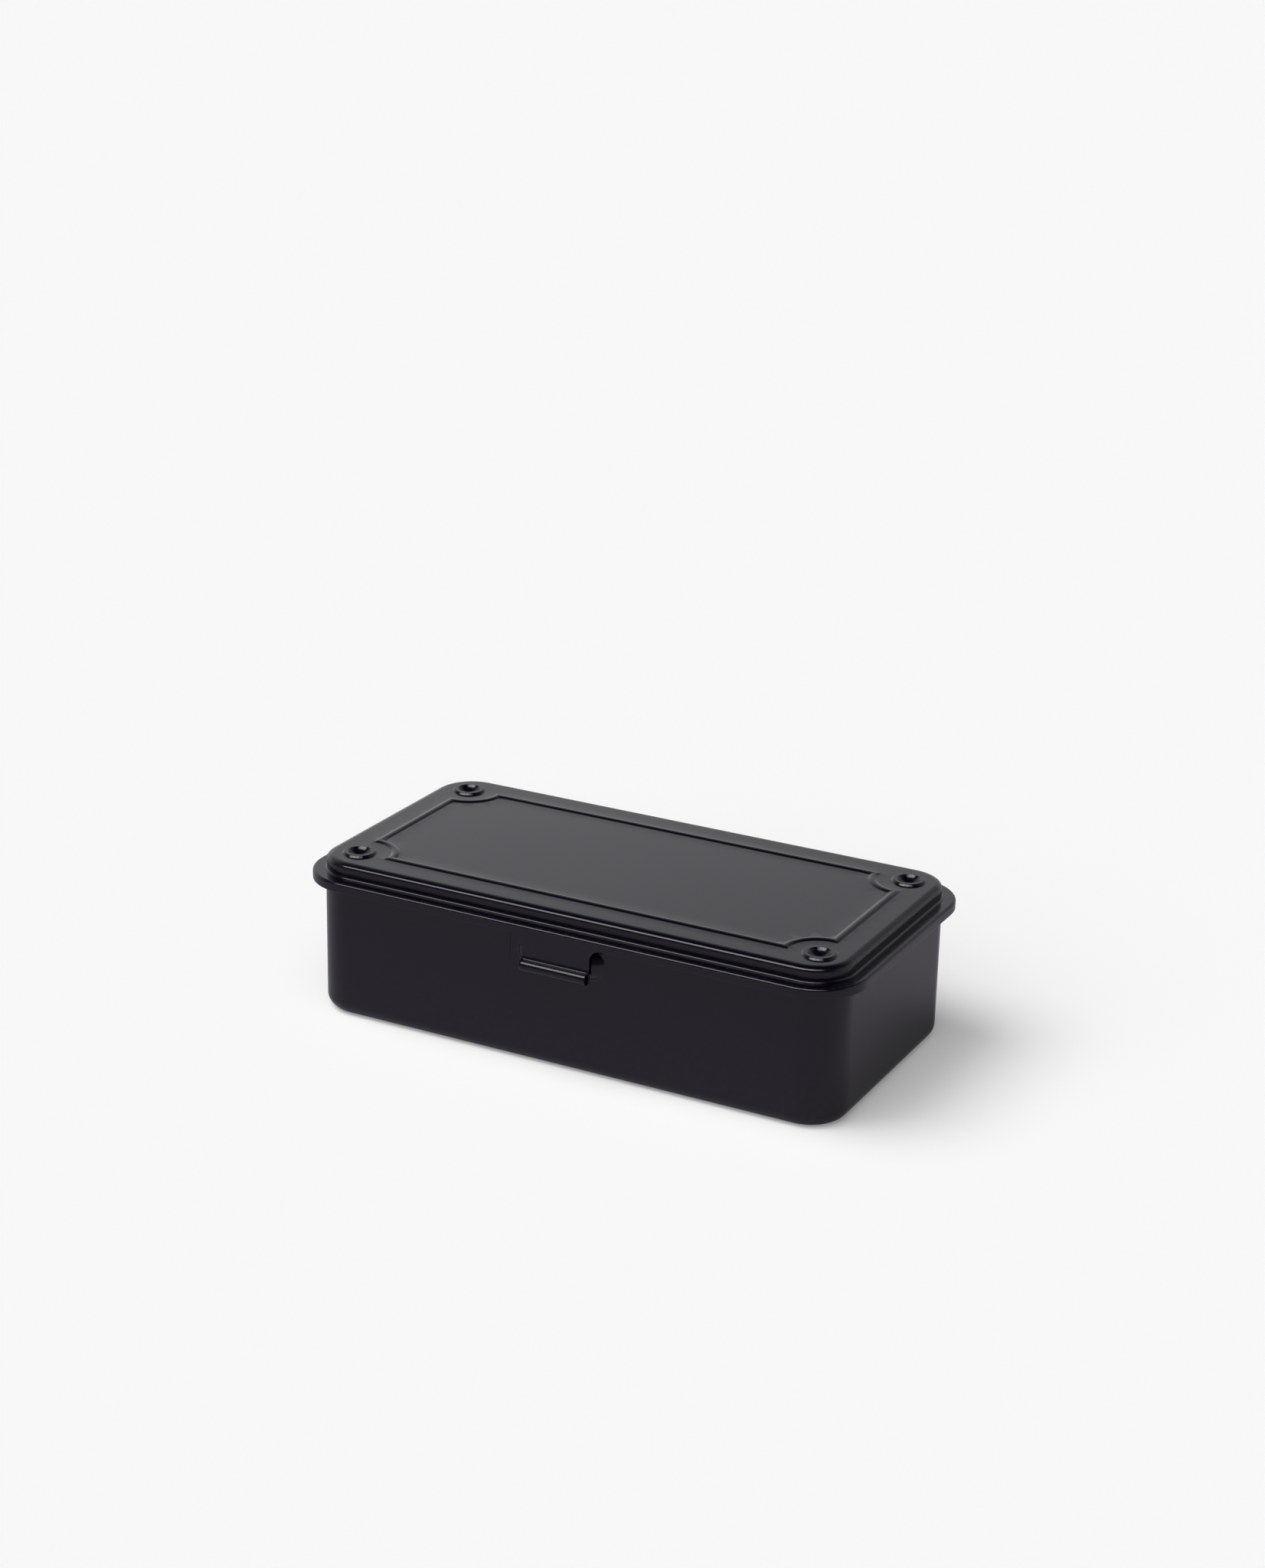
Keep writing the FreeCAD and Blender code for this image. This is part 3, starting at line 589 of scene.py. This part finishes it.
def stadium(reach, distance):
    """Places at a distance round a level line, and how many there are along one side."""
    run = spaced(-reach, reach, BULGE_PITCH)
    places = [(x, distance) for x in run]
    places += [(reach + x, z) for x, z in arc((0, 0), distance, 90, -90, BULGE_END_STEPS)[1:-1]]
    places += [(x, -distance) for x in reversed(run)]
    places += [(-reach + x, z) for x, z in arc((0, 0), distance, 270, 90, BULGE_END_STEPS)[1:-1]]
    return places, len(run)


def add_bulge(sheet):
    """The pressed bulge on the front wall. Returns its outermost loop."""
    reach = BULGE_REACH - BULGE_HALF
    rows = []
    for (outer_far, outer_rise), (inner_far, inner_rise) in bulge_profile()[:-1]:
        outer, count = stadium(reach, outer_far)
        inner, _ = stadium(reach, inner_far)
        rows.append([
            sheet.point((x, -WALL_Y - outer_rise, BULGE_HEIGHT + z),
                        (u, -WALL_Y - inner_rise, BULGE_HEIGHT + w))
            for (x, z), (u, w) in zip(outer, inner)])
    sheet.loops(rows)
    last = rows[-1]
    crest = [sheet.point((x, -WALL_Y - BULGE_RISE, BULGE_HEIGHT),
                         (x, -WALL_Y - BULGE_RISE + GAUGE, BULGE_HEIGHT))
             for x in spaced(-reach, reach, BULGE_PITCH)]
    upper = last[:count]
    right = last[count - 1:len(last) // 2 + 1]
    lower = last[len(last) // 2:len(last) // 2 + count]
    left = last[len(last) // 2 + count - 1:] + last[:1]
    sheet.strip(upper, crest, closed=False)
    sheet.strip(lower, list(reversed(crest)), closed=False)
    for ends, middle in ((right, crest[-1]), (left, crest[0])):
        for a, b in zip(ends, ends[1:]):
            sheet.faces.append((a, b, middle))
    return rows[0]


def on_front(sheet, index, half):
    """Whether a point is on the front wall, in the stretch left open for the bulge."""
    place = sheet.points[index][0]
    return place.y < -WALL_Y + NEAR and abs(place.x) < half + NEAR


def make_body():
    sheet = Sheet()
    half = BULGE_REACH + BULGE_MARGIN
    front = joined(spaced(-CORE_X, -half, WALL_PITCH), spaced(-half, half, TAB_PITCH),
                   spaced(half, CORE_X, WALL_PITCH))
    rear = spaced(-CORE_X, CORE_X, WALL_PITCH)
    outline = core_outline(front, rear, spaced(-CORE_Y, CORE_Y, WALL_PITCH), CORNER_STEPS)
    section = body_section()
    rows = rings_of(sheet, outline, section)
    low_row = next(number for number, (outer, _, _) in enumerate(section)
                   if outer[1] == WINDOW_BOTTOM)
    for number, (here, there) in enumerate(zip(rows, rows[1:])):
        if number != low_row:
            sheet.strip(here, there)
            continue
        pairs = list(zip(here, there, outline))
        for (a, b, _), (c, d, _) in zip(pairs, pairs[1:] + pairs[:1]):
            if not (on_front(sheet, a, half) and on_front(sheet, c, half)):
                sheet.faces.append((a, c, d, b))
    window = [index for index in rows[low_row] if on_front(sheet, index, half)]
    window += reversed([index for index in rows[low_row + 1] if on_front(sheet, index, half)])
    bulge = add_bulge(sheet)
    sheet.fill(window, [bulge], lambda place: (place.x, place.z),
               lambda x, z: sheet.point((x, -WALL_Y, z), (x, -WALL_Y + GAUGE, z)), WINDOW_PITCH)
    sockets = [add_round(sheet, centre, socket_profile(), 0, GAUGE)
               for centre in corner_places()]
    sheet.fill(rows[0], sockets, lambda place: (place.x, place.y),
               lambda x, y: sheet.point((x, y, 0), (x, y, GAUGE)), BASE_PITCH)
    return sheet.build("body")


# ---------------------------------------------------------------- materials


# Noise patterns: (features per metre, detail).
CLOUD = (22, 4)
SPECKLE = (420, 2)
DUST = (1400, 1)
CHIPS = (700, 3)
WIRE_LINES = (2500, 2)
STAINS = (300, 3)

# Ranges taken from the noise, and the shares they are taken to.
MIDDLE_OF_NOISE = (0.3, 0.7)
DUST_PEAKS, DUST_SHARE = (0.86, 0.88), (0, 0.2)
CHIP_PEAKS, CHIP_SHARE = (0.52, 0.62), (0, 0.6)

PAINT_TONES = ((0.0014, 0.0007, 0.0040), (0.0028, 0.0016, 0.0064))
PAINT_ROUGHNESS = (0.15, 0.19)
PAINT_IOR = 1.5
RUBBED_TONE = (0.03, 0.03, 0.032)
RUBBED_ROUGHNESS = 0.2
DUST_TONE = (0.10, 0.10, 0.095)
STEEL_TONES = ((0.22, 0.22, 0.23), (0.36, 0.355, 0.35))
STEEL_ROUGHNESS = (0.28, 0.42)
WIRE_STRETCH = (0.04, 1, 1)
PEEL_STRENGTH = 0.2
WIRE_STRENGTH = 0.3
BUMP_DEPTH = 0.00001


def make_material(name):
    """A material with its nodes, its links and its surface shader."""
    material = bpy.data.materials.new(name)
    material.use_nodes = True
    nodes = material.node_tree.nodes
    return material, nodes, material.node_tree.links, nodes["Principled BSDF"]


def noise(nodes, links, coordinates, pattern):
    scale, detail = pattern
    texture = nodes.new("ShaderNodeTexNoise")
    texture.inputs["Scale"].default_value = scale
    texture.inputs["Detail"].default_value = detail
    links.new(coordinates, texture.inputs["Vector"])
    return texture.outputs["Fac"]


def mapped(nodes, links, value, source, target):
    """A value taken from one (low, high) range to another, and held at its ends."""
    node = nodes.new("ShaderNodeMapRange")
    for socket, number in zip(("From Min", "From Max", "To Min", "To Max"), source + target):
        node.inputs[socket].default_value = number
    links.new(value, node.inputs["Value"])
    return node.outputs["Result"]


def mixed(nodes, links, share, one, other):
    """A blend of two colours, each a fixed colour or a node's output."""
    node = nodes.new("ShaderNodeMix")
    node.data_type = "RGBA"
    for socket, item in (("A", one), ("B", other)):
        target = [entry for entry in node.inputs
                  if entry.name == socket and entry.type == "RGBA"][0]
        if isinstance(item, tuple):
            target.default_value = (*item, 1)
        else:
            links.new(item, target)
    links.new(share, node.inputs["Factor"])
    return [entry for entry in node.outputs if entry.type == "RGBA"][0]


def math_node(nodes, links, operation, one, other):
    """A sum or product of two values, each a number or a node's output."""
    node = nodes.new("ShaderNodeMath")
    node.operation = operation
    for socket, item in zip(node.inputs, (one, other)):
        if isinstance(item, (int, float)):
            socket.default_value = item
        else:
            links.new(item, socket)
    return node.outputs[0]


def add_bump(nodes, links, shader, height, strength):
    bump = nodes.new("ShaderNodeBump")
    bump.inputs["Strength"].default_value = strength
    bump.inputs["Distance"].default_value = BUMP_DEPTH
    links.new(height, bump.inputs["Height"])
    links.new(bump.outputs["Normal"], shader.inputs["Normal"])


def black_paint():
    """Baked enamel: near black with a violet cast and a fine orange peel, rubbed at raw edges."""
    material, nodes, links, shader = make_material("black_enamel")
    place = nodes.new("ShaderNodeTexCoord").outputs["Object"]
    wear = nodes.new("ShaderNodeAttribute")
    wear.attribute_name = "wear"
    cloud = noise(nodes, links, place, CLOUD)
    speckle = noise(nodes, links, place, SPECKLE)
    dust = mapped(nodes, links, noise(nodes, links, place, DUST), DUST_PEAKS, DUST_SHARE)
    chips = mapped(nodes, links, noise(nodes, links, place, CHIPS), CHIP_PEAKS, CHIP_SHARE)
    rubbed = math_node(nodes, links, "MULTIPLY", wear.outputs["Fac"], chips)
    paint = mixed(nodes, links, cloud, *PAINT_TONES)
    paint = mixed(nodes, links, rubbed, paint, RUBBED_TONE)
    paint = mixed(nodes, links, dust, paint, DUST_TONE)
    links.new(paint, shader.inputs["Base Color"])
    gloss = mapped(nodes, links, cloud, MIDDLE_OF_NOISE, PAINT_ROUGHNESS)
    extra = math_node(nodes, links, "MULTIPLY", rubbed, RUBBED_ROUGHNESS)
    links.new(math_node(nodes, links, "ADD", gloss, extra), shader.inputs["Roughness"])
    shader.inputs["IOR"].default_value = PAINT_IOR
    add_bump(nodes, links, shader, speckle, PEEL_STRENGTH)
    return material


def pin_steel():
    """Drawn wire: grey steel with fine lines along the pin and faint stains."""
    material, nodes, links, shader = make_material("pin_steel")
    place = nodes.new("ShaderNodeTexCoord").outputs["Object"]
    stretch = nodes.new("ShaderNodeMapping")
    stretch.inputs["Scale"].default_value = WIRE_STRETCH
    links.new(place, stretch.inputs["Vector"])
    lines = noise(nodes, links, stretch.outputs["Vector"], WIRE_LINES)
    stain = noise(nodes, links, place, STAINS)
    tone = mixed(nodes, links, stain, *STEEL_TONES)
    gloss = mapped(nodes, links, lines, MIDDLE_OF_NOISE, STEEL_ROUGHNESS)
    links.new(tone, shader.inputs["Base Color"])
    links.new(gloss, shader.inputs["Roughness"])
    shader.inputs["Metallic"].default_value = 1.0
    add_bump(nodes, links, shader, lines, WIRE_STRENGTH)
    return material


def finish_piece(piece, material):
    piece.data.materials.clear()
    piece.data.materials.append(material)


def soften(piece):
    """Break the sheet's raw edges, and let the large faces rule the shading."""
    bevel = piece.modifiers.new("broken_edges", "BEVEL")
    bevel.width = BROKEN_EDGE * MM
    bevel.segments = 2
    bevel.limit_method = "ANGLE"
    bevel.angle_limit = math.radians(BROKEN_EDGE_ANGLE)
    weighted = piece.modifiers.new("weighted_normals", "WEIGHTED_NORMAL")
    weighted.weight = 100
    weighted.keep_sharp = True


# ---------------------------------------------------------------- studio


FLOOR_REACH = 30.0
FLOOR_ROUGHNESS = 0.9

# Name, height, tone, glow, and whether it shows in reflections. The second lies just above the
# first so that it is not in its shade.
FLOORS = (
    ("pale_floor", 0.0, (0.8, 0.8, 0.8), 0.2, False),
    ("dim_floor", 0.0001, (0.385, 0.362, 0.41), 0.05, True),
)

# How bright the world is by direction: leftward along X, and rearward along Y.
LEFTWARD, LEFTWARD_STRENGTH = (-0.65, -0.15), (1.3, 0.78)
REARWARD, REARWARD_STRENGTH = (-0.3, 0.2), (0.15, 1.0)
WORLD_TONES = ((0.0, (0.72, 0.72, 0.72)), (0.36, (0.62, 0.63, 0.655)),
               (0.82, (0.015, 0.015, 0.015)))
CAMERA_AZIMUTH = 27.363
CAMERA_ELEVATION = 19.837
CAMERA_ROLL = 1.313
CAMERA_PLACE = (416.531, -806.169, 412.131)
CAMERA_LENS = 66.65
CAMERA_SENSOR = 36

# Name, direction towards the light, spread in degrees, strength, and whether it shows in
# reflections. Those that do put the highlights on the box; the others light the floor.
SUNS = (
    ("softbox_left", (-0.39, -0.50, 0.78), 28, 0.95, True),
    ("softbox_middle", (-0.04, -0.53, 0.85), 28, 0.8, True),
    ("softbox_right", (0.24, -0.43, 0.87), 28, 0.5, True),
    ("window", (-0.44, -0.23, 0.87), 40, 1.28, False),
    ("fill", (-0.1, -0.6, 0.79), 80, 2.24, False),
)


def make_floor(name, height, tone, glow, in_reflections):
    """A level sheet under the box. It shows either to the camera or in the box's reflections."""
    mesh = bpy.data.meshes.new(name)
    corners = [(FLOOR_REACH * x, FLOOR_REACH * y, height)
               for x, y in ((-1, -1), (1, -1), (1, 1), (-1, 1))]
    mesh.from_pydata(corners, [], [(0, 1, 2, 3)])
    floor = bpy.data.objects.new(name, mesh)
    bpy.context.scene.collection.objects.link(floor)
    floor.visible_glossy = in_reflections
    for kind in ("camera", "diffuse", "shadow"):
        setattr(floor, "visible_" + kind, not in_reflections)
    material, _, _, shader = make_material(name)
    shader.inputs["Base Color"].default_value = (*tone, 1)
    shader.inputs["Roughness"].default_value = FLOOR_ROUGHNESS
    shader.inputs["Specular IOR Level"].default_value = 0.0
    shader.inputs["Emission Color"].default_value = (1, 1, 1, 1)
    shader.inputs["Emission Strength"].default_value = glow
    mesh.materials.append(material)


def make_sun(name, direction, spread, strength, in_reflections):
    """A soft light from a direction, given as a vector towards it.

    It either shows in reflections or lights the floor, so that each can be set by itself.
    """
    lamp = bpy.data.lights.new(name, "SUN")
    lamp.angle = math.radians(spread)
    lamp.energy = strength
    light = bpy.data.objects.new(name, lamp)
    light.rotation_mode = "QUATERNION"
    light.rotation_quaternion = Vector(direction).to_track_quat("Z", "Y")
    light.visible_glossy = in_reflections
    light.visible_diffuse = not in_reflections
    bpy.context.scene.collection.objects.link(light)


def make_world():
    """What the box reflects: pale walls, brightest at the rear left, and a dark ceiling.

    It does not light the floor. The tones run from level, 0, to straight up, 1.
    """
    world = bpy.data.worlds.new("studio")
    world.use_nodes = True
    bpy.context.scene.world = world
    world.cycles_visibility.diffuse = False
    nodes, links = world.node_tree.nodes, world.node_tree.links
    parts = nodes.new("ShaderNodeSeparateXYZ")
    links.new(nodes.new("ShaderNodeTexCoord").outputs["Generated"], parts.inputs["Vector"])
    ramp = nodes.new("ShaderNodeValToRGB")
    ramp.color_ramp.elements.new(0.5)
    for element, (place, colour) in zip(ramp.color_ramp.elements, WORLD_TONES):
        element.position = place
        element.color = (*colour, 1)
    links.new(parts.outputs["Z"], ramp.inputs["Fac"])
    links.new(ramp.outputs["Color"], nodes["Background"].inputs["Color"])
    leftward = mapped(nodes, links, parts.outputs["X"], LEFTWARD, LEFTWARD_STRENGTH)
    rearward = mapped(nodes, links, parts.outputs["Y"], REARWARD, REARWARD_STRENGTH)
    strength = math_node(nodes, links, "MULTIPLY", leftward, rearward)
    links.new(strength, nodes["Background"].inputs["Strength"])


def make_camera():
    azimuth, elevation, roll = (math.radians(angle)
                                for angle in (CAMERA_AZIMUTH, CAMERA_ELEVATION, CAMERA_ROLL))
    back = Vector((math.sin(azimuth) * math.cos(elevation),
                   -math.cos(azimuth) * math.cos(elevation),
                   math.sin(elevation)))
    right = Vector((math.cos(azimuth), math.sin(azimuth), 0))
    up = back.cross(right)
    right, up = (right * math.cos(roll) + up * math.sin(roll),
                 up * math.cos(roll) - right * math.sin(roll))
    lens = bpy.data.cameras.new("camera")
    lens.lens = CAMERA_LENS
    lens.sensor_width = CAMERA_SENSOR
    camera = bpy.data.objects.new("camera", lens)
    place = Vector(CAMERA_PLACE) * MM
    turn = Matrix((right, up, back)).transposed().to_4x4()
    camera.matrix_world = Matrix.Translation(place) @ turn
    bpy.context.scene.collection.objects.link(camera)
    bpy.context.scene.camera = camera


# ---------------------------------------------------------------- assembly

make_camera()
for surface in FLOORS:
    make_floor(*surface)
make_world()
for sun in SUNS:
    make_sun(*sun)
bpy.context.scene.view_settings.view_transform = "Standard"

enamel = black_paint()
steel = pin_steel()
lid = make_lid()
body = make_body()
for piece, node, name in ((lid, "lid_shell", "lid"), (body, "body_shell", "body")):
    soften(piece)
    finish_piece(piece, enamel)
    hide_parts(node)
    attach(piece, name)
for side in ("left", "right"):
    finish_piece(frame["nodes"][f"hinge_leaf_{side}"], enamel)
    finish_piece(frame["nodes"][f"hinge_pin_{side}"], steel)
